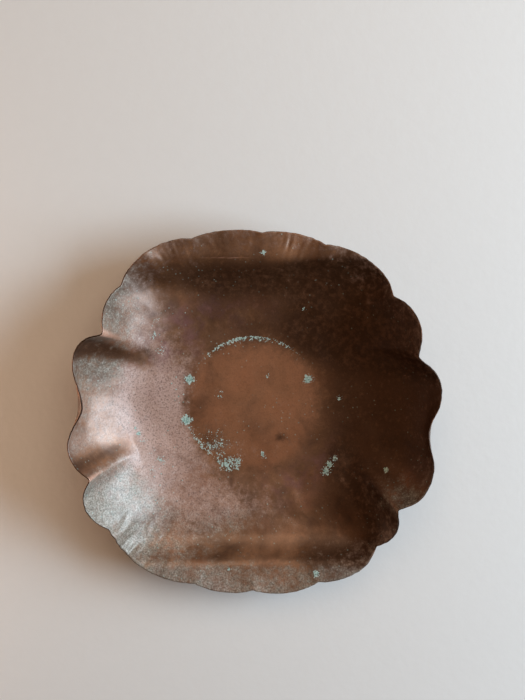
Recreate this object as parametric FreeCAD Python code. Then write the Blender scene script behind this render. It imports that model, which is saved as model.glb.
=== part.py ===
import FreeCAD, Part
import math
import os

# Scalloped bowl raised from one copper sheet, standing on a soldered foot ring.
# Lengths in millimetres, angles in degrees, X across the raised ears, Z up out of the mouth.

# ---- overall sizes
RIM_RADIUS = 150.0        # nominal plan radius of the scalloped rim
SHEET = 1.0               # gauge of the raised sheet
FOOT_RADIUS = 54.0        # outside of the foot ring
FOOT_HEIGHT = 6.0
FOOT_WALL = 2.0
FLOOR_MARGIN = 2.5        # flat floor beyond the foot ring
SOLDER_LEG = 2.2          # legs of the solder fillet inside the foot ring
SEAM_WIDTH = 1.2          # solder-filled gap where the foot strip closes

# ---- wall of the dish and the two folded flanges
TOP_FOLD = 120.0          # distance of the straight +Y fold line from the axis
BOTTOM_FOLD = 126.0       # the same at -Y
FOLD_ROUND = 5.0
TOP_STEP = 14.0           # rise of the steep band below the +Y fold
TOP_STEP_RUN = 28.0
BOTTOM_STEP = 11.0        # the same at the -Y fold
BOTTOM_STEP_RUN = 20.0
FLANGE_SLOPE = 4.0
DISH_SLOPE_IN = 7.0
DISH_SLOPE_OUT = 14.0

# ---- raised ears at +X and -X
EAR_START = 75.0          # radius where the ear wall starts to rise
EAR_SLOPE = 62.0          # slope of the ear wall at the rim
EAR_HALF_ANGLE = 26.0
EAR_FADE = 30.0

# ---- scallops: notch angle, depth of the cut, how far the lobe after it stands off the rim radius,
# ---- and the exponent of that lobe's outline, higher for a squarer one
SCALLOPS = (
    (20.0, 1.5, 2.0, 2.4),
    (40.0, 4.0, 0.5, 2.4),
    (66.5, 3.5, -5.0, 2.4),
    (87.0, 3.0, -5.0, 2.4),
    (109.5, 3.0, 2.0, 2.4),
    (136.0, 3.0, -0.5, 2.4),
    (151.0, 1.5, 0.0, 7.0),
    (201.5, 1.5, 2.5, 2.4),
    (219.0, 4.0, 7.5, 2.4),
    (251.5, 4.5, 3.5, 2.4),
    (270.0, 4.5, 4.5, 2.4),
    (290.5, 4.5, 7.5, 2.4),
    (312.0, 3.5, 5.0, 2.4),
    (326.5, 1.5, 0.5, 5.0),
)

# ---- pinched ridges: angle at the rim, swing of the crest, height, half widths of the clockwise
# ---- and anticlockwise flanks, reach in from the rim
PLEATS = (
    (20.0, 9.0, 16.0, 6.0, 8.0, 66.0),
    (151.0, 1.0, 18.0, 8.0, 4.0, 62.0),
    (201.5, 0.0, 15.0, 6.0, 4.0, 58.0),
    (326.5, 4.0, 18.0, 7.0, 5.0, 66.0),
)
PLEAT_LIFT = 0.6          # share of a ridge's push that also lifts it
# ---- soft folds where the middle of each ear leans inwards
LEANS = (
    (-5.5, 0.0, 13.0, 8.0, 8.0, 36.0),
    (177.5, 0.0, 17.0, 11.0, 8.0, 36.0),
)
# ---- shallow flutes running in from the other notches
FLUTES = (
    (40.0, 0.0, 4.0, 3.5, 3.5, 30.0),
    (66.5, 0.0, 2.0, 3.0, 3.0, 22.0),
    (87.0, 0.0, 1.6, 3.0, 3.0, 22.0),
    (109.5, 0.0, 2.0, 3.0, 3.0, 22.0),
    (124.0, 0.0, 4.0, 3.0, 3.0, 36.0),
    (136.0, 0.0, 2.5, 3.0, 3.0, 25.0),
    (222.0, 0.0, 4.0, 4.0, 4.0, 34.0),
    (251.5, 0.0, 2.0, 3.0, 3.0, 24.0),
    (270.0, 0.0, 2.0, 3.0, 3.0, 24.0),
    (290.5, 0.0, 2.0, 3.0, 3.0, 24.0),
    (312.0, 0.0, 3.0, 4.0, 4.0, 34.0),
)

# ---- fineness of the wall surface
AROUND = 360
ALONG = 24

FLOOR_RADIUS = FOOT_RADIUS + FLOOR_MARGIN
UP = FreeCAD.Vector(0, 0, 1)


def smooth(x):
    """Ease from 0 to 1."""
    x = min(1.0, max(0.0, x))
    return x * x * (3 - 2 * x)


def soft_positive(x, radius):
    """The positive part of x with the corner rounded off within the radius."""
    if abs(x) >= radius:
        return max(0.0, x)
    return (x + radius) ** 2 / (4 * radius)


def turn(a, b):
    """Signed angle from b to a."""
    return (a - b + 180.0) % 360.0 - 180.0


def rim_radius(angle):
    """Plan radius of the scalloped edge."""
    for i, (start, cut, lobe, square) in enumerate(SCALLOPS):
        end, end_cut, after = SCALLOPS[(i + 1) % len(SCALLOPS)][:3]
        along = ((angle - start) % 360.0) / ((end - start) % 360.0)
        if along < 1:
            low_start = (SCALLOPS[i - 1][2] + lobe) / 2 - cut
            low_end = (after + lobe) / 2 - end_cut
            base = low_start + (low_end - low_start) * along
            crown = lobe - (low_start + low_end) / 2
            return RIM_RADIUS + base + crown * (1 - abs(2 * along - 1) ** square)
    return RIM_RADIUS


def ear_weight(angle):
    """1 in the ears, 0 in the flanged sides."""
    off = min(abs(turn(angle, 0.0)), abs(turn(angle, 180.0)))
    return 1 - smooth((off - EAR_HALF_ANGLE) / EAR_FADE)


def dish(run):
    """Height of the gentle wall at a distance out from the floor."""
    inner = math.tan(math.radians(DISH_SLOPE_IN))
    outer = math.tan(math.radians(DISH_SLOPE_OUT))
    return inner * run + (outer - inner) * run * run / (2 * (TOP_FOLD - FLOOR_RADIUS))


def flanged_profile(t, angle):
    """Gentle wall, steep band and folded-out flange along a straight fold."""
    rho = FLOOR_RADIUS + t * (rim_radius(angle) - FLOOR_RADIUS)
    sine = math.sin(math.radians(angle))
    if sine > 0:
        fold, step, step_run = TOP_FOLD, TOP_STEP, TOP_STEP_RUN
    else:
        fold, step, step_run = BOTTOM_FOLD, BOTTOM_STEP, BOTTOM_STEP_RUN
    to_fold = fold - rho * abs(sine)
    past = soft_positive(-to_fold, FOLD_ROUND)
    held = rho - soft_positive(rho - fold / max(abs(sine), 0.001), FOLD_ROUND)
    climbed = min(1.0, max(0.0, 1 - (to_fold + past) / step_run))
    height = dish(held - FLOOR_RADIUS) + step * climbed ** 2
    return rho, height + past * math.tan(math.radians(FLANGE_SLOPE))


def ear_profile(t, angle):
    """Gentle wall turning up into a steep one on a single arc."""
    straight = EAR_START - FLOOR_RADIUS
    slope_in = math.atan(dish(straight + 1) - dish(straight))
    slope_out = math.radians(EAR_SLOPE)
    bend = (rim_radius(angle) - EAR_START) / (math.sin(slope_out) - math.sin(slope_in))
    along = t * (straight + bend * (slope_out - slope_in))
    if along < straight:
        return FLOOR_RADIUS + along, dish(along)
    a = slope_in + (along - straight) / bend
    out = bend * (math.sin(a) - math.sin(slope_in))
    return EAR_START + out, dish(straight) + bend * (math.cos(slope_in) - math.cos(a))


def plain_profile(t, angle):
    """Radius and height of the wall before it is pinched, t from the floor to the rim."""
    weight = ear_weight(angle)
    flat_r, flat_z = flanged_profile(t, angle)
    ear_r, ear_z = ear_profile(t, angle)
    return flat_r + weight * (ear_r - flat_r), flat_z + weight * (ear_z - flat_z)


def crest(d):
    """Cross-section of a pinched ridge, d in half widths from the crest."""
    return math.exp(-1.15 * (math.sqrt(d * d + 0.09) - 0.3))


def swell(d):
    """Cross-section of a soft fold."""
    return math.exp(-0.9 * d * d)


def folded(t, angle, folds, power, section):
    """Depth at a point of the sheet of a set of folds that grow towards the rim."""
    length = RIM_RADIUS - FLOOR_RADIUS + FOOT_HEIGHT
    total = 0.0
    for at, swing, height, clockwise, anticlockwise, reach in folds:
        x = 1 - (1 - t) * length / reach
        if x > 0:
            off = turn(angle, at + swing * (1 - x))
            total += height * x ** power * section(off / (anticlockwise if off > 0 else clockwise))
    return total


def middle(t, angle):
    """Point on the middle of the sheet."""
    step = 0.004
    r, z = plain_profile(t, angle)
    r_in, z_in = plain_profile(max(0.0, t - step), angle)
    r_out, z_out = plain_profile(min(1.0, t + step), angle)
    run = math.hypot(r_out - r_in, z_out - z_in)
    pleat = folded(t, angle, PLEATS, 0.8, crest)
    flute = folded(t, angle, FLUTES, 1.4, crest)
    lean = folded(t, angle, LEANS, 3.0, swell)
    r -= (pleat + flute) * (z_out - z_in) / run + lean
    z += (pleat * PLEAT_LIFT + flute) * (r_out - r_in) / run
    a = math.radians(angle)
    return FreeCAD.Vector(r * math.cos(a), r * math.sin(a), FOOT_HEIGHT + SHEET / 2 + z)


def offset_point(t, angle, distance):
    """Point at a distance from the middle of the sheet, positive into the bowl."""
    along = middle(min(1.0, t + 0.004), angle) - middle(max(0.0, t - 0.004), angle)
    across = middle(t, angle + 0.4) - middle(t, angle - 0.4)
    normal = UP if t == 0 else along.cross(across).normalize()
    return middle(t, angle) + normal * distance


def wall_face(distance):
    """Smooth closed surface at a distance from the middle of the sheet."""
    rows = []
    for i in range(AROUND):
        angle = 360.0 * i / AROUND
        rows.append([offset_point(j / ALONG, angle, distance) for j in range(ALONG + 1)])
    spans = ALONG - 2
    surface = Part.BSplineSurface()
    surface.buildFromPolesMultsKnots(
        rows, [1] * (AROUND + 1), [4] + [1] * (spans - 1) + [4],
        [float(i) for i in range(AROUND + 1)], [float(j) for j in range(spans + 1)],
        True, False, 3, 3)
    return surface.toShape()


def edge_at(face, outer):
    """The closed edge of a wall face at the rim or at the floor."""
    closed = [e for e in face.Edges if e.isClosed()]
    closed.sort(key=lambda e: e.Length)
    return closed[-1] if outer else closed[0]


def bowl_body():
    """The raised sheet: two offset walls, two floors and a cut edge, sewn into a solid."""
    inner = wall_face(SHEET / 2)
    outer = wall_face(-SHEET / 2)
    faces = [inner, outer]
    faces.append(Part.makeRuledSurface(edge_at(inner, True), edge_at(outer, True)))
    for wall in (inner, outer):
        faces.append(Part.Face(Part.Wire(edge_at(wall, False))))
    shell = Part.makeShell([f for face in faces for f in face.Faces])
    shell.sewShape()
    solid = Part.makeSolid(Part.Shell(shell.Faces))
    return solid if solid.Volume > 0 else solid.reversed()


def seam_block(width):
    """Block across the foot wall where the strip closes, at -Y."""
    depth = FOOT_WALL * 3
    corner = FreeCAD.Vector(-width / 2, -FOOT_RADIUS - FOOT_WALL, 0)
    return Part.makeBox(width, depth, FOOT_HEIGHT, corner)


def foot_hoop():
    """Full ring from which the foot strip and its seam are taken."""
    outside = Part.makeCylinder(FOOT_RADIUS, FOOT_HEIGHT)
    return outside.cut(Part.makeCylinder(FOOT_RADIUS - FOOT_WALL, FOOT_HEIGHT))


def foot_ring():
    """Copper strip bent round, open by the width of the seam."""
    return foot_hoop().cut(seam_block(SEAM_WIDTH))


def seam_solder():
    """Solder filling the joint of the strip."""
    return foot_hoop().common(seam_block(SEAM_WIDTH))


def foot_solder():
    """Hollow fillet of soft solder between the foot ring and the underside of the floor."""
    wall = FOOT_RADIUS - FOOT_WALL
    top = FreeCAD.Vector(wall - SOLDER_LEG, 0, FOOT_HEIGHT)
    corner = FreeCAD.Vector(wall, 0, FOOT_HEIGHT)
    low = FreeCAD.Vector(wall, 0, FOOT_HEIGHT - SOLDER_LEG)
    belly = FreeCAD.Vector(wall - 0.35 * SOLDER_LEG, 0, FOOT_HEIGHT - 0.35 * SOLDER_LEG)
    edges = [Part.makeLine(top, corner), Part.makeLine(corner, low)]
    edges.append(Part.Arc(low, belly, top).toShape())
    profile = Part.Face(Part.Wire(edges))
    return profile.revolve(FreeCAD.Vector(0, 0, 0), UP, 360)


def main():
    parts = {
        "bowl_body": bowl_body(),
        "foot_ring": foot_ring(),
        "foot_solder": foot_solder(),
        "seam_solder": seam_solder(),
    }
    box = parts["bowl_body"].optimalBoundingBox(False, False)
    centring = FreeCAD.Vector(-box.Center.x, -box.Center.y, 0)
    os.makedirs("parts", exist_ok=True)
    for name, shape in parts.items():
        solid = shape.Solids[0] if shape.ShapeType == "Compound" else shape
        solid.translate(centring)
        solid.exportStep("parts/" + name + ".step")
        size = solid.optimalBoundingBox(False, False)
        print(name, solid.ShapeType, solid.isValid(), round(solid.Volume, 1),
              [round(v, 2) for v in (size.XMin, size.XMax, size.YMin, size.YMax, size.ZMin, size.ZMax)])


main()
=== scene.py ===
"""Looks of a scalloped copper bowl: the raised sheet, its foot ring and solder, and the studio."""

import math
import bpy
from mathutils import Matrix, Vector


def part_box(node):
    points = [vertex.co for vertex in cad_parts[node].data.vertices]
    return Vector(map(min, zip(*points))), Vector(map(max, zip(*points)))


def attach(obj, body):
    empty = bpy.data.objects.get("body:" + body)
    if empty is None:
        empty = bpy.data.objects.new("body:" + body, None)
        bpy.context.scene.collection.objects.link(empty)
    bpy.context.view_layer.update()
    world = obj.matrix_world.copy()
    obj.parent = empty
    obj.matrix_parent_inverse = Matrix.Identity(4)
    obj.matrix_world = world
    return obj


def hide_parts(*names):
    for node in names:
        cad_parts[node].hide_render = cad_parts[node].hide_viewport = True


bl_info = {
    "name": "Hammered copper bowl",
    "version": (1, 0, 0),
    "blender": (4, 5, 0),
    "location": "3D View > Sidebar > Copper Bowl",
    "description": "Raises a scalloped copper bowl on its foot ring and sets up a plain studio",
    "category": "Object",
}

import bmesh
import bpy
import numpy as np
from bpy.props import FloatProperty, FloatVectorProperty, IntProperty, PointerProperty
from mathutils import Matrix, Vector, noise

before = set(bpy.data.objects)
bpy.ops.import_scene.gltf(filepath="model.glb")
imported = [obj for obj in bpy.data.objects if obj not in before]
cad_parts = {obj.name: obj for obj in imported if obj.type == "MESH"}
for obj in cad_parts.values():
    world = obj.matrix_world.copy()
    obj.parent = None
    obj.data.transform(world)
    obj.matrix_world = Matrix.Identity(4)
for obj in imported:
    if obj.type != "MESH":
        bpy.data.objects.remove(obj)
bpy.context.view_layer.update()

RING_LOW, RING_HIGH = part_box("foot_ring")
AXIS = ((RING_LOW[0] + RING_HIGH[0]) / 2, (RING_LOW[1] + RING_HIGH[1]) / 2)
FOOT_TOP = RING_HIGH[2]
FOOT_RADIUS = (RING_HIGH[0] - RING_LOW[0]) / 2

MM = 0.001

# ---- form of the raised sheet, in millimetres and degrees, as in the design
FLOOR_MARGIN = 2.5
TOP_FOLD, BOTTOM_FOLD = 120.0, 126.0
FOLD_ROUND = 5.0
TOP_STEP, TOP_STEP_RUN = 14.0, 28.0
BOTTOM_STEP, BOTTOM_STEP_RUN = 11.0, 20.0
FLANGE_SLOPE = 4.0
DISH_SLOPE_IN, DISH_SLOPE_OUT = 7.0, 14.0
EAR_START = 75.0
EAR_SLOPE = 62.0
EAR_HALF_ANGLE, EAR_FADE = 26.0, 30.0

# notch angle, depth of the cut, stand-off of the lobe after it, exponent of its outline
SCALLOPS = (
    (20.0, 1.5, 2.0, 2.4),
    (40.0, 4.0, 0.5, 2.4),
    (66.5, 3.5, -5.0, 2.4),
    (87.0, 3.0, -5.0, 2.4),
    (109.5, 3.0, 2.0, 2.4),
    (136.0, 3.0, -0.5, 2.4),
    (151.0, 1.5, 0.0, 7.0),
    (201.5, 1.5, 2.5, 2.4),
    (219.0, 4.0, 7.5, 2.4),
    (251.5, 4.5, 3.5, 2.4),
    (270.0, 4.5, 4.5, 2.4),
    (290.5, 4.5, 7.5, 2.4),
    (312.0, 3.5, 5.0, 2.4),
    (326.5, 1.5, 0.5, 5.0),
)

# angle at the rim, swing of the crest, height, clockwise and anticlockwise half widths, reach
PLEATS = (
    (20.0, 9.0, 16.0, 6.0, 8.0, 66.0),
    (151.0, 1.0, 18.0, 8.0, 4.0, 62.0),
    (201.5, 0.0, 15.0, 6.0, 4.0, 58.0),
    (326.5, 4.0, 18.0, 7.0, 5.0, 66.0),
)
PLEAT_LIFT = 0.6
LEANS = (
    (-5.5, 0.0, 13.0, 8.0, 8.0, 36.0),
    (177.5, 0.0, 17.0, 11.0, 8.0, 36.0),
)
FLUTES = (
    (40.0, 0.0, 4.0, 3.5, 3.5, 30.0),
    (66.5, 0.0, 2.0, 3.0, 3.0, 22.0),
    (87.0, 0.0, 1.6, 3.0, 3.0, 22.0),
    (109.5, 0.0, 2.0, 3.0, 3.0, 22.0),
    (124.0, 0.0, 4.0, 3.0, 3.0, 36.0),
    (136.0, 0.0, 2.5, 3.0, 3.0, 25.0),
    (222.0, 0.0, 4.0, 4.0, 4.0, 34.0),
    (251.5, 0.0, 2.0, 3.0, 3.0, 24.0),
    (270.0, 0.0, 2.0, 3.0, 3.0, 24.0),
    (290.5, 0.0, 2.0, 3.0, 3.0, 24.0),
    (312.0, 0.0, 3.0, 4.0, 4.0, 34.0),
)

# fine hammered flutes: angle, half width of the group, depth, spacing in degrees, reach
FLUTE_GROUPS = (
    (77.0, 11.0, 0.75, 2.7, 30.0),
    (96.0, 14.0, 0.18, 2.6, 26.0),
    (56.0, 10.0, 0.25, 2.4, 28.0),
    (118.0, 9.0, 0.40, 2.2, 32.0),
    (227.0, 11.0, 1.15, 3.1, 40.0),
    (209.0, 7.0, 0.50, 2.6, 28.0),
    (246.0, 9.0, 0.45, 2.9, 30.0),
    (262.0, 12.0, 0.20, 2.2, 26.0),
    (286.0, 12.0, 0.22, 2.4, 26.0),
    (306.0, 9.0, 0.28, 2.5, 28.0),
)

# verdigris bloom: place in millimetres from the axis, radius, strength
BLOOMS = (
    (-53, 21, 3.4, 1.0),
    (-29, 12, 2.4, 0.9),
    (-29, 7, 1.8, 0.8),
    (46, 22, 3.4, 1.0),
    (-56, -13, 3.4, 1.0),
    (-22, -50, 5.5, 0.74),
    (-14, -50, 4.6, 0.70),
    (-28, -46, 3.5, 0.8),
    (-34, -19, 1.8, 0.8),
    (7.5, -41, 1.6, 0.8),
    (12, 25, 1.0, 0.7),
    (71, 6, 2.0, 0.8),
    (41, 80, 1.4, 0.7),
    (8, 126, 2.0, 0.8),
    (108, -50, 2.0, 0.8),
    (51, -135, 2.6, 0.8),
    (-20, -132, 1.8, 0.7),
    (60, -55, 3.4, 0.75),
    (63, -50, 3.0, 0.75),
    (67, -45, 2.4, 0.7),
    (-97, -18, 1.3, 0.8),
    (-95, -23, 1.6, 0.8),
    (-90, -30, 3.0, 0.42),
    (-84, -38, 3.6, 0.45),
    (-77, -45, 4.6, 0.50),
    (-84, -54, 4.2, 0.42),
    (-77, 46, 3.6, 0.52),
    (-81, 58, 3.6, 0.48),
    (-80, 70, 3.0, 0.42),
)

# soft spots of each field: place in millimetres from the axis, widths along X and Y, strength. The spot of
# the pinkish film is painted sheen on the left ear, which faces the light; the darkening spots are darker
# patches, lighter where the strength is below 0, added to the painted shade
SHEEN_AND_HAZE_SPOTS = (
    (-85, 3, 20, 16, 0.35),
)
CHALK_SPOTS = (
    (-5, -116, 85, 36, 0.75),
    (-42, 0, 16, 34, 0.35),
)
SHADE_AND_GRIME_SPOTS = (
    (23, -28, 8, 5, 0.75),
    (35, 58, 22, 22, 0.25),
    (-92, -88, 20, 20, 0.25),
    (-64, 98, 20, 16, -0.30),
    (76, -108, 24, 18, -0.35),
)

# painted shade: straight dark bands on the steep walls beside the fold lines, where the wall turns from the
# light: distance along Y, width, strength
PAINTED_SHADE_BANDS = (
    (103, 13, 0.40),
    (-116, 11, 0.35),
    (-126, 5, 0.35),
)

RAGGED_DEPTH = 0.35       # unevenness of the cut rim
RAGGED_SIZE = 3.5
RAGGED_REACH = 2.5


def smooth(x):
    """Ease from 0 to 1."""
    x = np.clip(x, 0.0, 1.0)
    return x * x * (3 - 2 * x)


def soft_positive(x, radius):
    """The positive part of x with the corner rounded off within the radius."""
    return np.where(np.abs(x) < radius, (x + radius) ** 2 / (4 * radius), np.maximum(x, 0.0))


def turn(a, b):
    """Signed angle from b to a."""
    return (a - b + 180.0) % 360.0 - 180.0


def crest(d):
    """Cross-section of a pinched ridge, d in half widths from the crest."""
    return np.exp(-1.15 * (np.sqrt(d * d + 0.09) - 0.3))


def swell(d):
    """Cross-section of a soft fold."""
    return np.exp(-0.9 * d * d)


class Form:
    """The middle surface of the raised sheet, t from 0 at the floor's edge to 1 at the rim."""

    def __init__(self, sizes):
        self.rim = sizes.rim_radius / MM
        self.sheet = sizes.sheet / MM
        self.floor = FOOT_RADIUS / MM + FLOOR_MARGIN
        self.base = FOOT_TOP / MM + self.sheet / 2
        self.length = self.rim - self.floor + FOOT_TOP / MM

    def rim_radius(self, angle):
        """Plan radius of the scalloped edge."""
        result = np.full(angle.shape, self.rim)
        for i, (start, cut, lobe, square) in enumerate(SCALLOPS):
            end, end_cut, after = SCALLOPS[(i + 1) % len(SCALLOPS)][:3]
            along = ((angle - start) % 360.0) / ((end - start) % 360.0)
            low_start = (SCALLOPS[i - 1][2] + lobe) / 2 - cut
            low_end = (after + lobe) / 2 - end_cut
            base = low_start + (low_end - low_start) * along
            crown = lobe - (low_start + low_end) / 2
            bulge = crown * (1 - np.abs(2 * np.clip(along, 0, 1) - 1) ** square)
            result = np.where(along < 1, self.rim + base + bulge, result)
        return result

    def dish(self, run):
        """Height of the gentle wall at a distance out from the floor."""
        inner = math.tan(math.radians(DISH_SLOPE_IN))
        outer = math.tan(math.radians(DISH_SLOPE_OUT))
        return inner * run + (outer - inner) * run * run / (2 * (TOP_FOLD - self.floor))

    def flanged(self, t, angle):
        """Gentle wall, steep band and folded-out flange along a straight fold."""
        rho = self.floor + t * (self.rim_radius(angle) - self.floor)
        sine = np.sin(np.radians(angle))
        step = np.where(sine > 0, TOP_STEP, BOTTOM_STEP)
        step_run = np.where(sine > 0, TOP_STEP_RUN, BOTTOM_STEP_RUN)
        fold = np.where(sine > 0, TOP_FOLD, BOTTOM_FOLD)
        to_fold = fold - rho * np.abs(sine)
        past = soft_positive(-to_fold, FOLD_ROUND)
        held = rho - soft_positive(rho - fold / np.maximum(np.abs(sine), 0.001), FOLD_ROUND)
        climbed = np.clip(1 - (to_fold + past) / step_run, 0.0, 1.0)
        height = self.dish(held - self.floor) + step * climbed ** 2
        return rho, height + past * math.tan(math.radians(FLANGE_SLOPE))

    def eared(self, t, angle):
        """Gentle wall turning up into a steep one on a single arc."""
        straight = EAR_START - self.floor
        slope_in = math.atan(self.dish(straight + 1) - self.dish(straight))
        slope_out = math.radians(EAR_SLOPE)
        bend = (self.rim_radius(angle) - EAR_START) / (math.sin(slope_out) - math.sin(slope_in))
        along = t * (straight + bend * (slope_out - slope_in))
        a = slope_in + np.maximum(along - straight, 0.0) / bend
        run = np.minimum(along, straight)
        out = bend * (np.sin(a) - math.sin(slope_in))
        return self.floor + run + out, self.dish(run) + bend * (math.cos(slope_in) - np.cos(a))

    def plain(self, t, angle):
        """Radius and height of the wall before it is pinched."""
        off = np.minimum(np.abs(turn(angle, 0.0)), np.abs(turn(angle, 180.0)))
        weight = 1 - smooth((off - EAR_HALF_ANGLE) / EAR_FADE)
        flat_r, flat_z = self.flanged(t, angle)
        ear_r, ear_z = self.eared(t, angle)
        return flat_r + weight * (ear_r - flat_r), flat_z + weight * (ear_z - flat_z)

    def folded(self, t, angle, folds, power, section):
        """Depth of a set of folds that grow towards the rim."""
        total = np.zeros(t.shape)
        for at, swing, height, clockwise, anticlockwise, reach in folds:
            x = np.clip(1 - (1 - t) * self.length / reach, 0.0, None)
            off = turn(angle, at + swing * (1 - x))
            half = np.where(off > 0, anticlockwise, clockwise)
            total += height * x ** power * section(off / half)
        return total

    def middle(self, t, angle):
        """Points on the middle of the sheet."""
        step = 0.004
        r, z = self.plain(t, angle)
        r_in, z_in = self.plain(np.maximum(0.0, t - step), angle)
        r_out, z_out = self.plain(np.minimum(1.0, t + step), angle)
        run = np.hypot(r_out - r_in, z_out - z_in)
        pleat = self.folded(t, angle, PLEATS, 0.8, crest)
        flute = self.folded(t, angle, FLUTES, 1.4, crest)
        lean = self.folded(t, angle, LEANS, 3.0, swell)
        r = r - (pleat + flute) * (z_out - z_in) / run - lean
        z = z + (pleat * PLEAT_LIFT + flute) * (r_out - r_in) / run
        a = np.radians(angle)
        return np.stack((r * np.cos(a), r * np.sin(a), self.base + z), axis=-1)

    def normals(self, t, angle):
        """Unit normals of the middle surface, into the bowl."""
        along = self.middle(np.minimum(1.0, t + 0.004), angle)
        along = along - self.middle(np.maximum(0.0, t - 0.004), angle)
        across = self.middle(t, angle + 0.3) - self.middle(t, angle - 0.3)
        normal = np.cross(along, across)
        return normal / np.linalg.norm(normal, axis=-1, keepdims=True)


def noise_of(points, scale, seed):
    """Smooth noise from -1 to 1 at points in millimetres, scale being the size of a lump."""
    shift = Vector((seed * 17.3, seed * 5.1, seed * 9.7))
    return np.array([noise.noise(Vector(p) / scale + shift) for p in points])


def planished(points, size):
    """Shallow overlapping hammer facets: low in the middle of each blow, raised between blows."""
    result = []
    for p in points:
        near = noise.voronoi(Vector(p) / size)[0]
        result.append(min(near[0] * near[0], 0.6))
    return np.array(result)


# ------------------------------------------------------------------ sizes and colours


class BowlSizes(bpy.types.PropertyGroup):
    """Sizes of the raised sheet and its hammer work."""
    rim_radius: FloatProperty(
        name="Rim radius", description="Nominal plan radius of the scalloped rim",
        default=0.150, unit="LENGTH")
    sheet: FloatProperty(
        name="Sheet", description="Gauge of the copper sheet", default=0.001, unit="LENGTH")
    blow: FloatProperty(
        name="Hammer blow", description="Width of one hammer facet", default=0.009, unit="LENGTH")
    blow_depth: FloatProperty(
        name="Blow depth", description="Depth of one hammer facet", default=0.00022, unit="LENGTH")
    lump_depth: FloatProperty(
        name="Lump depth", description="Height of the soft unevenness of the sheet",
        default=0.0011, unit="LENGTH")
    around: IntProperty(
        name="Divisions around", description="Faces round the floor", default=240, min=48)


class BowlColours(bpy.types.PropertyGroup):
    """Colours of the patina and of the studio."""
    # also the colour that painted shade turns the inside towards
    oxide: FloatVectorProperty(
        name="Oxide", description="Darkest brown of the patina",
        subtype="COLOR", default=(0.034, 0.012, 0.004))
    brown: FloatVectorProperty(
        name="Brown", description="Warm brown of the patina",
        subtype="COLOR", default=(0.300, 0.137, 0.064))
    russet: FloatVectorProperty(
        name="Russet", description="Thin patina with copper showing",
        subtype="COLOR", default=(0.360, 0.142, 0.065))
    plum: FloatVectorProperty(
        name="Plum", description="Purple tarnish",
        subtype="COLOR", default=(0.200, 0.085, 0.085))
    # the pinkish film colour, laid also as painted sheen on the lit left side
    haze: FloatVectorProperty(
        name="Haze", description="Pinkish film of fine tarnish",
        subtype="COLOR", default=(0.500, 0.335, 0.285))
    dust: FloatVectorProperty(
        name="Dust", description="Pale brown grain in the oxide",
        subtype="COLOR", default=(0.320, 0.150, 0.080))
    chalk: FloatVectorProperty(
        name="Chalk", description="Grey-green chalky film",
        subtype="COLOR", default=(0.290, 0.275, 0.230))
    verdigris: FloatVectorProperty(
        name="Verdigris", description="Blue-green crust",
        subtype="COLOR", default=(0.190, 0.330, 0.290))
    powder: FloatVectorProperty(
        name="Powder", description="Pale grains of dust on the film",
        subtype="COLOR", default=(0.600, 0.540, 0.480))
    bloom: FloatVectorProperty(
        name="Bloom", description="Palest powder on the crust",
        subtype="COLOR", default=(0.500, 0.620, 0.570))
    # also the colour of the painted highlights on the pleat crests
    copper: FloatVectorProperty(
        name="Rubbed copper", description="Copper worn bare",
        subtype="COLOR", default=(0.800, 0.430, 0.300))
    solder: FloatVectorProperty(
        name="Solder", description="Dull grey solder",
        subtype="COLOR", default=(0.300, 0.290, 0.270))
    floor: FloatVectorProperty(
        name="Studio floor", description="Pale floor",
        subtype="COLOR", default=(0.800, 0.795, 0.785))


# ------------------------------------------------------------------ shader expressions


class Wire:
    """A node socket that can be written into an expression as a number."""

    def __init__(self, tree, socket=None):
        self.tree = tree
        self.socket = socket

    def node(self, kind, settings=None, inputs=None, output=0):
        """Add a node: its settings first, then the values or links of its sockets."""
        made = self.tree.nodes.new(kind)
        for name, value in (settings or {}).items():
            if name == "stops":
                ramp = made.color_ramp
                while len(ramp.elements) < len(value):
                    ramp.elements.new(0.5)
                for element, (position, colour) in zip(ramp.elements, value):
                    element.position = position
                    element.color = colour
            else:
                setattr(made, name, value)
        for key, value in (inputs or {}).items():
            if isinstance(value, Wire):
                self.tree.links.new(value.socket, made.inputs[key])
            else:
                made.inputs[key].default_value = value
        return Wire(self.tree, made.outputs[output]) if made.outputs else made

    def math(self, operation, *values):
        return self.node("ShaderNodeMath", {"operation": operation}, dict(enumerate(values)))

    def __add__(self, other):
        return self.math("ADD", self, other)

    def __radd__(self, other):
        return self.math("ADD", other, self)

    def __sub__(self, other):
        return self.math("SUBTRACT", self, other)

    def __rsub__(self, other):
        return self.math("SUBTRACT", other, self)

    def __mul__(self, other):
        return self.math("MULTIPLY", self, other)

    def __rmul__(self, other):
        return self.math("MULTIPLY", other, self)

    def least(self, other):
        return self.math("MINIMUM", self, other)

    def most(self, other):
        return self.math("MAXIMUM", self, other)

    def ramp(self, low, high, start=0.0, end=1.0):
        """Ease from start to end while the value goes from low to high."""
        return self.node(
            "ShaderNodeMapRange", {"interpolation_type": "SMOOTHSTEP"},
            {"Value": self, "From Min": low, "From Max": high, "To Min": start, "To Max": end})

    def blend(self, first, second):
        """Colour between two, by this value."""
        values = {0: self, 6: solid(first), 7: solid(second)}
        return self.node("ShaderNodeMix", {"data_type": "RGBA", "clamp_factor": True}, values, 2)


def solid(colour):
    """A colour with its alpha, or a wire as it is."""
    return colour if isinstance(colour, Wire) else (*colour, 1.0)


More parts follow.
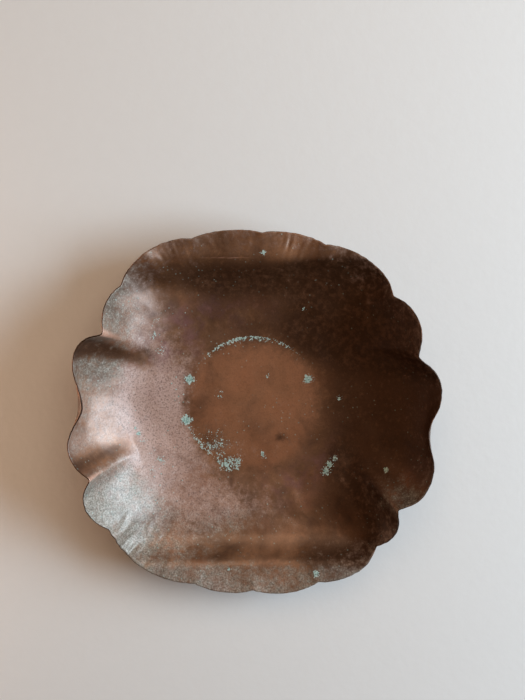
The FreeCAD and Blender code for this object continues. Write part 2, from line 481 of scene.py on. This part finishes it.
class Finish:
    """A material being built: its tree, its coordinates and its shader."""

    def __init__(self, name):
        self.material = bpy.data.materials.new(name)
        self.material.use_nodes = True
        self.tree = self.material.node_tree
        self.shader = self.tree.nodes["Principled BSDF"]
        start = Wire(self.tree)
        here = start.node("ShaderNodeTexCoord", output=3)
        self.place = start.node(
            "ShaderNodeMapping", {}, {"Vector": here, "Location": (-AXIS[0], -AXIS[1], 0.0)})
        self.start = start

    def noise(self, size, detail=3.0, roughness=0.55, seed=0.0, distortion=0.0):
        """Noise with lumps of a size in metres."""
        return self.start.node(
            "ShaderNodeTexNoise", {"noise_dimensions": "4D"},
            {"Vector": self.place, "W": seed, "Scale": 1.0 / size, "Detail": detail,
             "Roughness": roughness, "Distortion": distortion})

    def cells(self, size, feature="F1", randomness=1.0):
        """Distance to the nearest point of a scatter with a spacing in metres."""
        return self.start.node(
            "ShaderNodeTexVoronoi", {"feature": feature},
            {"Vector": self.place, "Scale": 1.0 / size, "Randomness": randomness})

    def field(self, name):
        """A value painted on the mesh."""
        return self.start.node("ShaderNodeAttribute", {"attribute_name": name}, output=2)

    def axes(self):
        """The X, Y and Z of the place."""
        made = self.start.node("ShaderNodeSeparateXYZ", {}, {0: self.place})
        outputs = made.socket.node.outputs
        return [Wire(self.tree, outputs[i]) for i in range(3)]

    def connect(self, socket, value):
        if isinstance(value, Wire):
            self.tree.links.new(value.socket, self.shader.inputs[socket])
        elif socket.endswith(("Color", "Tint")):
            self.shader.inputs[socket].default_value = solid(value)
        else:
            self.shader.inputs[socket].default_value = value

    def bump(self, height, distance, strength=1.0):
        """Relief from a height between 0 and 1, distance deep."""
        self.connect("Normal", self.start.node(
            "ShaderNodeBump", {}, {"Strength": strength, "Distance": distance, "Height": height}))


def inside_patina(colours):
    """Brown oxide over copper with a pinkish film, verdigris and rubbed ridges. Painted shade turns it
    towards the oxide, the film on the left side is also painted sheen, and the ridges carry painted
    highlights.
    """
    f = Finish("inside_patina")
    broad = f.noise(0.070, 2.0, 0.5, 1.0)
    cloud = f.noise(0.026, 4.0, 0.6, 2.0, 0.6)
    grain = f.noise(0.0045, 4.0, 0.7, 3.0)
    speck = f.noise(0.0013, 3.0, 0.6, 4.0)
    verdigris = f.field("verdigris")
    haze = f.field("haze")
    chalk = f.field("chalk")
    wear = f.field("wear")
    grime = f.field("grime")
    plum = f.field("plum")
    disc = f.field("disc")

    colour = (cloud * 0.65 + broad * 0.5).ramp(0.28, 0.70).blend(colours.oxide, colours.brown)
    colour = f.noise(0.038, 3.0, 0.6, 6.0).ramp(0.52, 0.74, 0.0, 0.55).blend(colour, colours.russet)
    colour = (disc * 0.55 * cloud.ramp(0.30, 0.62, 0.5, 1.0)).blend(colour, colours.russet)
    colour = (plum * f.noise(0.020, 3.0, 0.6, 7.0).ramp(0.38, 0.60)).blend(colour, colours.plum)
    # painted shade, with some darker patches: turns the colour towards the oxide and thins the coat below
    shade_and_dirt = (grime * 1.1 + (grain - 0.5) * 0.9).ramp(0.25, 0.95)
    colour = (shade_and_dirt * 0.92).blend(colour, colours.oxide)
    colour = (grain.ramp(0.40, 0.72) * 0.25).blend(colour, colours.dust)
    # the pinkish film, which on the left side is also painted sheen
    film = (haze + (grain - 0.5) * 1.1 + (cloud - 0.5) * 0.7).ramp(0.22, 0.98)
    tint = (chalk + (grain - 0.5) * 0.8 + (broad - 0.5) * 0.6).ramp(0.25, 0.85)
    colour = (film * 0.88).blend(colour, tint.blend(colours.haze, colours.chalk))
    pits = speck.ramp(0.32, 0.52, 1.0, 0.0) * (film * 0.45 + 0.20)
    colour = pits.blend(colour, colours.oxide)
    powder = (speck + chalk * 0.10).ramp(0.58, 0.72) * film
    colour = (powder * 0.55).blend(colour, colours.powder)
    # bare copper on the ridges and the top fold, partly rubbed and partly painted highlight
    rubbed = (wear + (grain - 0.5) * 0.5).ramp(0.25, 0.95)
    colour = (rubbed * 0.65).blend(colour, colours.copper)
    dust = f.cells(0.0046).ramp(0.10, 0.17, 1.0, 0.0)
    dust = dust * f.noise(0.030, 3.0, 0.7, 9.0).ramp(0.44, 0.62) * (haze * 0.9 + 0.35)
    crust = (verdigris + (grain - 0.5) * 0.9 + (speck - 0.5) * 1.5).ramp(0.44, 0.60)
    crust = crust.most(dust.least(1.0) * 0.8)
    pale = speck.ramp(0.35, 0.65).blend(colours.verdigris, colours.bloom)
    colour = crust.blend(colour, pale)
    f.connect("Base Color", colour)
    bare = (1.0 - crust) * (1.0 - film * 0.45)
    f.connect("Metallic", bare * 0.30)
    smear = f.noise(0.012, 4.0, 0.65, 5.0)
    rough = smear.ramp(0.3, 0.75, 0.36, 0.52) + film * 0.10 - rubbed * 0.06
    f.connect("Roughness", rough.most(crust * 0.9))
    f.connect("Coat Weight", (1.0 - crust) * (1.0 - shade_and_dirt * 0.85) * 0.85)
    f.connect("Coat Roughness", 0.38)
    f.connect("Specular IOR Level", 0.35)
    relief = grain * 0.5 + speck * 0.22 + crust * 0.9 + f.noise(0.009, 2.0, 0.5, 8.0) * 0.8
    f.bump(relief, 0.00028, 0.75)
    return f.material


def outside_patina(colours):
    """Darker, more even brown of the back, with a softer share of the pinkish film, which on the left side
    also carries painted sheen.
    """
    f = Finish("outside_patina")
    cloud = f.noise(0.030, 4.0, 0.6, 12.0, 0.5)
    grain = f.noise(0.0045, 4.0, 0.7, 13.0)
    haze = f.field("haze")
    colour = cloud.ramp(0.40, 0.80).blend(colours.oxide, colours.brown)
    colour = f.noise(0.045, 2.0, 0.5, 14.0).ramp(0.52, 0.72, 0.0, 0.5).blend(colour, colours.russet)
    film = (haze * 0.6 + (grain - 0.5) * 1.2).ramp(0.25, 0.95)
    colour = (film * 0.5).blend(colour, colours.haze)
    crust = f.cells(0.0060).ramp(0.09, 0.16, 1.0, 0.0) * f.noise(0.035, 3.0, 0.7, 15.0).ramp(0.56, 0.68)
    colour = (crust * 0.8).blend(colour, colours.verdigris)
    f.connect("Base Color", colour)
    f.connect("Metallic", (1.0 - crust) * 0.40)
    f.connect("Roughness", grain.ramp(0.3, 0.7, 0.38, 0.56))
    f.connect("Coat Weight", (1.0 - crust) * 0.25)
    f.connect("Coat Roughness", 0.4)
    f.bump(grain * 0.6 + f.noise(0.009, 2.0, 0.5, 16.0) * 0.9, 0.00028, 0.8)
    return f.material


def cut_edge(colours):
    """Filed edge of the sheet, rubbed through to copper in places."""
    f = Finish("cut_edge")
    grain = f.noise(0.0050, 4.0, 0.7, 21.0)
    long = f.noise(0.030, 2.0, 0.5, 22.0)
    colour = (grain * 0.6 + long * 0.5).ramp(0.50, 0.85).blend(colours.oxide, colours.russet)
    colour = grain.ramp(0.60, 0.74, 0.0, 0.4).blend(colour, colours.haze)
    f.connect("Base Color", colour)
    f.connect("Metallic", 0.5)
    f.connect("Roughness", grain.ramp(0.3, 0.7, 0.35, 0.55))
    return f.material


def foot_patina(colours):
    """Strip of the foot: brown, rubbed bright on the standing edge."""
    f = Finish("foot_patina")
    z = f.axes()[2]
    cloud = f.noise(0.018, 4.0, 0.6, 31.0)
    grain = f.noise(0.0035, 4.0, 0.7, 32.0)
    colour = cloud.ramp(0.36, 0.66).blend(colours.oxide, colours.brown)
    rub = (z + (grain - 0.5) * 0.0020).ramp(0.0002, 0.0012, 1.0, 0.0)
    colour = (rub * 0.7).blend(colour, colours.copper)
    tide = (z + (cloud - 0.5) * 0.003).ramp(0.0042, 0.0060) * grain.ramp(0.42, 0.60)
    colour = (tide * 0.8).blend(colour, colours.verdigris)
    f.connect("Base Color", colour)
    f.connect("Metallic", (1.0 - tide) * 0.8)
    f.connect("Roughness", grain.ramp(0.3, 0.7, 0.34, 0.55) - rub * 0.08)
    f.bump(grain, 0.00022, 0.8)
    return f.material


def dull_solder(colours):
    """Grey solder, wavy from the iron and stained green in patches."""
    f = Finish("dull_solder")
    wave = f.noise(0.0060, 3.0, 0.5, 41.0, 1.0)
    grain = f.noise(0.0012, 3.0, 0.6, 42.0)
    colour = wave.ramp(0.35, 0.68).blend((0.16, 0.15, 0.13), colours.solder)
    green = f.noise(0.0080, 4.0, 0.7, 43.0).ramp(0.55, 0.68)
    colour = (green * 0.6).blend(colour, colours.verdigris)
    f.connect("Base Color", colour)
    f.connect("Metallic", (1.0 - green) * 0.85)
    f.connect("Roughness", wave.ramp(0.3, 0.7, 0.38, 0.60))
    f.bump(wave * 0.8 + grain * 0.2, 0.0004, 0.8)
    return f.material


def studio_paint(colours):
    """Matt pale paint of the studio floor."""
    f = Finish("studio_paint")
    f.connect("Base Color", f.noise(0.012, 3.0, 0.6, 51.0).ramp(0.2, 0.8).blend(
        colours.floor, tuple(c * 0.985 for c in colours.floor)))
    f.connect("Roughness", 0.92)
    f.connect("Specular IOR Level", 0.2)
    f.bump(f.noise(0.0060, 2.0, 0.5, 52.0), 0.0004, 0.35)
    return f.material


# ------------------------------------------------------------------ the raised sheet


def spun_disc(around):
    """Flat disc of rings, 1 at its edge, finer outside, spun from one spoke."""
    mesh = bmesh.new()
    spoke = [i / 8 * 0.40 for i in range(8)] + [0.40 + 0.15 * i / 14 for i in range(14)]
    spoke += [0.55 + 0.45 * i / 58 for i in range(59)]
    verts = [mesh.verts.new((s, 0.0, 0.0)) for s in spoke]
    edges = [mesh.edges.new(pair) for pair in zip(verts, verts[1:])]
    bmesh.ops.spin(
        mesh, geom=verts + edges, axis=(0, 0, 1), cent=(0, 0, 0), steps=around,
        angle=2 * math.pi, use_merge=True)
    bmesh.ops.remove_doubles(mesh, verts=mesh.verts[:], dist=1e-5)
    outer = []
    for edge in mesh.edges:
        a, b = (v.co.length for v in edge.verts)
        if abs(a - b) < 1e-4 and a > 0.5501:
            outer.append(edge)
    bmesh.ops.subdivide_edges(mesh, edges=outer, cuts=2)
    for v in mesh.verts:
        ring = min(spoke, key=lambda s: abs(s - v.co.length)) if v.co.length > 0.54 else v.co.length
        if v.co.length > 1e-6:
            v.co *= ring / v.co.length
    bmesh.ops.recalc_face_normals(mesh, faces=mesh.faces[:])
    if sum(face.normal.z for face in mesh.faces) < 0:
        bmesh.ops.reverse_faces(mesh, faces=mesh.faces[:])
    return mesh


def fine_flutes(form, t, angle, points):
    """Narrow radial hammer flutes, gathered near the rim."""
    total = np.zeros(t.shape)
    wobble = noise_of(points, 24.0, 5) * 2.4
    for at, half, depth, spacing, reach in FLUTE_GROUPS:
        x = np.clip(1 - (1 - t) * form.length / reach, 0.0, 1.0)
        off = turn(angle, at)
        group = np.exp(-(off / half) ** 2)
        phase = 2 * math.pi * (off + wobble) / spacing
        wave = 0.6 * np.sin(phase) + 0.6 * np.sin(0.61 * phase + at)
        broken = np.clip(0.35 + 1.1 * noise_of(points * (1, 1, 0.3), 11.0, at), 0.0, 1.3)
        total += depth * smooth(x * 1.4) * group * wave * broken
    return total


def worked_surface(form, sizes, s, angle):
    """Points of the hammered sheet in millimetres for rings s and angles."""
    wall = 0.40
    t = np.clip((s - wall) / (1 - wall), 0.0, 1.0)
    floor = s <= wall + 1e-6
    points = form.middle(t, angle)
    normals = form.normals(t, angle)
    a = np.radians(angle)
    flat_r = form.floor * s / wall
    flat = np.stack((flat_r * np.cos(a), flat_r * np.sin(a), np.full(s.shape, form.base)), axis=-1)
    points = np.where(floor[:, None], flat, points)
    normals = np.where(floor[:, None], (0.0, 0.0, 1.0), normals)
    lump = noise_of(points, 34.0, 1) + 0.45 * noise_of(points, 15.0, 2)
    over_foot = smooth((s - wall) / 0.12)
    height = sizes.lump_depth / MM * lump * (0.12 + 0.88 * over_foot)
    height += sizes.blow_depth / MM * planished(points, sizes.blow / MM) * (0.5 + 0.5 * over_foot)
    height += fine_flutes(form, t, angle, points)
    ragged = RAGGED_DEPTH * noise_of(points, RAGGED_SIZE, 7)
    ragged = ragged * np.exp(-(1 - t) * form.length / RAGGED_REACH)
    outward = np.stack((np.cos(a), np.sin(a), np.zeros(s.shape)), axis=-1)
    return points + normals * height[:, None] + outward * ragged[:, None], t


def bell(x, at, width):
    """Bell of height 1 round a place."""
    return np.exp(-((x - at) / width) ** 2)


def sector(angle, at, width):
    """Bell of height 1 round a direction, in degrees."""
    return np.exp(-(turn(angle, at) / width) ** 2)


def spread(angle, at, half):
    """1 in a direction, easing to 0 at half degrees to either side."""
    return smooth(1 - np.abs(turn(angle, at)) / half)


def beyond(x, start, run):
    """0 up to a start, easing to 1 over a run."""
    return smooth((x - start) / run)


def spots(x, y, table):
    """Sum of the soft spots in a table."""
    return sum(strength * bell(x, sx, wx) * bell(y, sy, wy) for sx, sy, wx, wy, strength in table)


class Zones:
    """Named areas of the sheet, each with a value from 0 to 1 at every point."""

    def __init__(self, form, points, t, angle):
        self.x, self.y = points[:, 0], points[:, 1]
        self.r = np.hypot(self.x, self.y)
        self.angle = angle
        x, y, r = self.x, self.y, self.r
        self.inside = r < form.floor
        self.disc = smooth((form.floor - r) / 4.0)
        # the left side, which faces the window light; the pinkish film laid here is painted sheen as well
        # as film
        self.left = smooth(1.25 * (1 - np.abs(turn(angle, 188.0)) / 80.0)) * beyond(r, 48.0, 18.0)
        self.rest = 1 - self.left
        self.rim = np.exp(-(1 - t) * form.length / 26.0)
        self.green_patch = bell(x, -33, 20) * bell(y, -34, 20) * self.inside
        # grey patch on the lower right ear: partly grey-green film, partly painted light on the lit side of
        # the lower right pleat
        self.grey_ear = bell(x, 112, 28) * bell(y, -66, 18)
        # the valley, banks, ear top, ridge foot and lower petal below, and the pockets beside the pleat
        # crests, mark where painted shade goes: the shaded sides of the pleats and the hollows beside them
        self.lower_valley = sector(angle, 196.5, 3.6) * beyond(r, 92.0, 20.0)
        self.upper_bank = sector(angle, 157.5, 4.0) * beyond(r, 82.0, 18.0)
        self.right_bank = sector(angle, 326.5 - 0.15 * (r - 91.0), 5.5) * beyond(r, 70.0, 16.0)
        self.ear_top = sector(angle, 165.5, 8.0) * beyond(r, 98.0, 26.0)
        self.ridge_foot = sector(angle, 205.2, 1.8) * beyond(r, 88.0, 14.0)
        self.lower_petal = sector(angle, 225.5, 4.5) * beyond(r, 125.0, 12.0)
        self.outer_ear = beyond(r, 100.0, 20.0) * smooth(1.4 - np.abs(turn(angle, 180.0)) / 22.0)
        self.top_flange = beyond(y, TOP_FOLD - 4.0, 8.0)
        self.bottom_flange = beyond(-y, BOTTOM_FOLD, 6.0)
        # the pleat crests carry bare copper and a painted highlight
        self.crests = form.folded(t, angle, PLEATS, 1.25, lambda d: bell(d, 0, 0.22)) / 16.0
        self.pockets = form.folded(t, angle, PLEATS, 1.0, lambda d: bell(np.abs(d), 0.9, 0.5)) / 16.0


def verdigris_field(form, z):
    """Green crust along the floor's edge, in the blooms and on the green patch."""
    top_arc = spread(z.angle, 94.0, 62.0) ** 0.35
    low_arc = spread(z.angle, 214.0, 50.0)
    field = bell(z.r, form.floor, 1.2) * (0.46 * top_arc + 0.34 * low_arc + 0.13)
    for bx, by, radius, strength in BLOOMS:
        d = np.hypot(z.x - bx, z.y - by) / radius
        field = np.maximum(field, strength * np.exp(-0.55 * d * d))
    return np.maximum(field, 0.40 * z.green_patch)


def sheen_and_haze_field(z):
    """Pinkish film over the left side, the rim and the lower wall; on the left side, which faces the light,
    it is painted sheen as well, kept off the shaded banks of the pleats.
    """
    # keeps the painted sheen off the shaded banks of the pleats and partly off the outer ear
    bare = (1 - 0.88 * z.lower_valley) * (1 - 0.8 * z.upper_bank) * (1 - 0.34 * z.outer_ear)
    # painted sheen and pinkish film on the left side, which faces the window light
    field = 0.86 * z.left * bare
    field += 0.42 * z.rim * z.rest
    # lighter over the lower wall
    field += 0.58 * bell(z.x, -24, 60) * bell(z.y, -86, 26) * z.rest
    field += 0.25 * z.grey_ear + 0.10 * z.disc + 0.20 * z.green_patch
    field += 0.28 * z.bottom_flange * z.rest
    return field + spots(z.x, z.y, SHEEN_AND_HAZE_SPOTS)


def chalk_field(z):
    """Grey-green share of the film."""
    far = np.minimum(np.abs(turn(z.angle, 148.0)), np.abs(turn(z.angle, 215.0)))
    field = 0.45 * z.rim + 0.45 * z.ear_top + 0.8 * z.green_patch + 0.6 * z.grey_ear
    field += 0.20 * z.left * beyond(z.r, 92.0, 30.0)
    field += 0.4 * smooth(1 - far / 28.0) * beyond(z.r, 90.0, 30.0)
    return field + spots(z.x, z.y, CHALK_SPOTS)


def wear_and_highlight_field(z):
    """Bare copper on the ridges and along the top fold, partly rubbed and partly painted highlight on the
    crests, and one thin bright line on the right ear.
    """
    # rubbed copper and painted highlight on the pleat crests, stronger on the left side, which faces the
    # light
    field = z.crests * np.where(z.x < 0, 1.0, 0.45)
    # a bright line along the crest of the top fold
    line = bell(z.y, TOP_FOLD + 2.0, 1.0) * smooth(1 - np.abs(z.x + 20.0) / 60.0)
    field = np.maximum(field, 0.55 * line)
    # one thin bright line on the upper part of the right ear
    slant = z.y - 28.0 + 0.12 * (z.x - 123.0)
    thin_bright_line = bell(slant, 0, 0.5) * smooth(1 - np.abs(z.x - 123.0) / 7.0)
    return np.maximum(field, 0.6 * thin_bright_line)


def shade_and_grime_field(z):
    """Painted shade on the shaded sides of the pleats, in the hollows beside their crests and along the
    steep bands by the folds; darker over the top wall, towards the right and on the floor's left; a few
    darker and lighter spots.
    """
    # darker on the floor at its left and on the green patch
    field = z.inside * (0.15 * bell(z.x, -46, 13) + 0.50 * z.green_patch)
    # painted shade on the shaded sides of the pleats, the top of the left ear and the hollows beside the
    # crests; lighter on the grey ear
    field += 0.42 * z.lower_valley + 0.55 * z.upper_bank + 0.60 * z.right_bank + 0.55 * z.ear_top
    field += 0.50 * z.ridge_foot - 0.30 * z.grey_ear + 0.35 * z.lower_petal + 0.35 * z.pockets
    # darker over the top wall, less so on the top flange towards the right
    thinner = 1 - 0.55 * z.top_flange * beyond(z.x, -20.0, 60.0)
    field += 0.60 * beyond(z.y, 18.0, 50.0) * z.rest * thinner
    # darker towards the right, less so on the top flange
    field += 0.76 * beyond(z.x, 18.0, 60.0) * (1 - 0.5 * z.top_flange)
    # painted shade along the steep bands beside the folds
    for at, width, strength in PAINTED_SHADE_BANDS:
        field += strength * bell(z.y, at, width)
    return field + spots(z.x, z.y, SHADE_AND_GRIME_SPOTS)


def plum_field(z):
    """Purple tarnish round the floor, strongest at the upper left and lower right."""
    field = bell(z.r, 84.0, 20.0) * (0.2 + 0.8 * spread(z.angle, 150.0, 80.0))
    return field + 0.8 * bell(z.r, 72.0, 9.0) * spread(z.angle, 308.0, 45.0)


def painted_fields(form, points, t, angle):
    """Values from 0 to 1 that steer the patina over the sheet, with its painted shade, painted sheen and
    painted highlights.
    """
    z = Zones(form, points, t, angle)
    fields = {
        "verdigris": verdigris_field(form, z), "haze": sheen_and_haze_field(z), "wear": wear_and_highlight_field(z),
        "grime": shade_and_grime_field(z), "plum": plum_field(z),
        "disc": z.disc * (1 - 0.6 * z.green_patch), "chalk": chalk_field(z),
    }
    return {name: np.clip(value, 0.0, 1.0) for name, value in fields.items()}


def make_piece(name, mesh):
    """Put a finished bmesh into the scene as an object at the origin."""
    data = bpy.data.meshes.new(name)
    mesh.to_mesh(data)
    mesh.free()
    piece = bpy.data.objects.new(name, data)
    bpy.context.scene.collection.objects.link(piece)
    return piece


class COPPERBOWL_OT_raise_sheet(bpy.types.Operator):
    """Raise the hammered, scalloped sheet in place of the plain one"""
    bl_idname = "copper_bowl.raise_sheet"
    bl_label = "Raise the sheet"

    def execute(self, context):
        sizes = context.scene.copper_bowl_sizes
        colours = context.scene.copper_bowl_colours
        form = Form(sizes)
        mesh = spun_disc(sizes.around)
        flat = np.array([v.co[:] for v in mesh.verts])
        s = np.clip(np.hypot(flat[:, 0], flat[:, 1]), 0.0, 1.0)
        angle = np.degrees(np.arctan2(flat[:, 1], flat[:, 0])) % 360.0
        points, t = worked_surface(form, sizes, s, angle)
        fields = painted_fields(form, points, t, angle)
        placed = points * MM + (AXIS[0], AXIS[1], 0.0)
        for v, p in zip(mesh.verts, placed):
            v.co = p
        for face in mesh.faces:
            face.smooth = True
        piece = make_piece("bowl_sheet", mesh)
        for name, values in fields.items():
            layer = piece.data.attributes.new(name, "FLOAT", "POINT")
            layer.data.foreach_set("value", values.astype(np.float32))
        thick = piece.modifiers.new("Sheet gauge", "SOLIDIFY")
        thick.thickness = sizes.sheet
        thick.offset = 0.0
        thick.material_offset = 1
        thick.material_offset_rim = 2
        for material in (inside_patina(colours), outside_patina(colours), cut_edge(colours)):
            piece.data.materials.append(material)
        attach(piece, "root")
        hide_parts("bowl_body")
        return {"FINISHED"}


class COPPERBOWL_OT_finish_foot(bpy.types.Operator):
    """Give the foot ring and its solder their finishes"""
    bl_idname = "copper_bowl.finish_foot"
    bl_label = "Finish the foot"

    def execute(self, context):
        colours = context.scene.copper_bowl_colours
        strip = foot_patina(colours)
        solder = dull_solder(colours)
        for node, material in (("foot_ring", strip), ("foot_solder", solder), ("seam_solder", solder)):
            for slot in bpy.data.objects[node].material_slots:
                slot.material = material
        return {"FINISHED"}


# ------------------------------------------------------------------ the studio


def soft_light(name, place, target, width, height, power, colour):
    """Rectangular soft light aimed at a point."""
    data = bpy.data.lights.new(name, "AREA")
    data.shape = "RECTANGLE"
    data.size = width
    data.size_y = height
    data.energy = power
    data.color = colour
    lamp = bpy.data.objects.new(name, data)
    lamp.location = place
    lamp.rotation_euler = (Vector(target) - Vector(place)).to_track_quat("-Z", "Y").to_euler()
    bpy.context.scene.collection.objects.link(lamp)


class COPPERBOWL_OT_set_stage(bpy.types.Operator):
    """Lay the pale floor and place the lights and the camera"""
    bl_idname = "copper_bowl.set_stage"
    bl_label = "Set the stage"

    def execute(self, context):
        scene = context.scene
        mesh = bmesh.new()
        bmesh.ops.create_grid(mesh, x_segments=2, y_segments=2, size=3.0)
        floor = make_piece("studio_floor", mesh)
        floor.data.materials.append(studio_paint(scene.copper_bowl_colours))
        soft_light("window", (1.58, 0.15, 0.845), (0, 0, 0.02), 1.2, 1.0, 43.0, (0.70, 0.87, 1.0))
        soft_light("ceiling", (0.20, 0.95, 1.50), (0, 0, 0.02), 1.6, 1.2, 10.0, (1.0, 0.76, 0.55))
        soft_light("bounce", (-0.50, -0.02, 0.026), (-0.12, -0.02, 0.0), 0.45, 0.05, 1.9, (1.0, 0.68, 0.48))
        world = bpy.data.worlds.new("room")
        world.use_nodes = True
        background = world.node_tree.nodes["Background"]
        background.inputs["Color"].default_value = (1.0, 0.60, 0.36, 1.0)
        background.inputs["Strength"].default_value = 0.14
        scene.world = world
        scene.view_settings.view_transform = "Standard"
        self.place_camera(scene)
        return {"FINISHED"}

    def place_camera(self, scene):
        """Look down the bowl's axis, tilted a little from the +Y side."""
        tilt = math.radians(6.0)
        distance = 0.873
        data = bpy.data.cameras.new("camera")
        data.sensor_fit = "VERTICAL"
        data.sensor_height = 36.0
        data.lens = 54.1
        camera = bpy.data.objects.new("camera", data)
        up = Vector((0.0, math.cos(tilt), -math.sin(tilt)))
        back = Vector((0.0, math.sin(tilt), math.cos(tilt)))
        aim = Vector((AXIS[0] + 0.0075, AXIS[1], FOOT_TOP + 0.0005)) + up * 0.0452
        place = aim + back * distance
        camera.matrix_world = Matrix((
            (1.0, 0.0, 0.0, place.x),
            (0.0, up.y, back.y, place.y),
            (0.0, up.z, back.z, place.z),
            (0.0, 0.0, 0.0, 1.0)))
        scene.collection.objects.link(camera)
        scene.camera = camera


class COPPERBOWL_PT_panel(bpy.types.Panel):
    """Steps, sizes and colours of the copper bowl"""
    bl_idname = "COPPERBOWL_PT_panel"
    bl_label = "Copper bowl"
    bl_space_type = "VIEW_3D"
    bl_region_type = "UI"
    bl_category = "Copper Bowl"

    def draw(self, context):
        for step in STEPS:
            self.layout.operator(step.bl_idname)
        for group in (context.scene.copper_bowl_sizes, context.scene.copper_bowl_colours):
            box = self.layout.box()
            for name in group.__annotations__:
                box.prop(group, name)


STEPS = (COPPERBOWL_OT_raise_sheet, COPPERBOWL_OT_finish_foot, COPPERBOWL_OT_set_stage)
CLASSES = (BowlSizes, BowlColours) + STEPS + (COPPERBOWL_PT_panel,)


def register():
    for item in CLASSES:
        bpy.utils.register_class(item)
    bpy.types.Scene.copper_bowl_sizes = PointerProperty(type=BowlSizes)
    bpy.types.Scene.copper_bowl_colours = PointerProperty(type=BowlColours)


def unregister():
    del bpy.types.Scene.copper_bowl_colours
    del bpy.types.Scene.copper_bowl_sizes
    for item in reversed(CLASSES):
        bpy.utils.unregister_class(item)


def main():
    register()
    bpy.ops.copper_bowl.raise_sheet()
    bpy.ops.copper_bowl.finish_foot()
    bpy.ops.copper_bowl.set_stage()


if __name__ == "__main__":
    main()
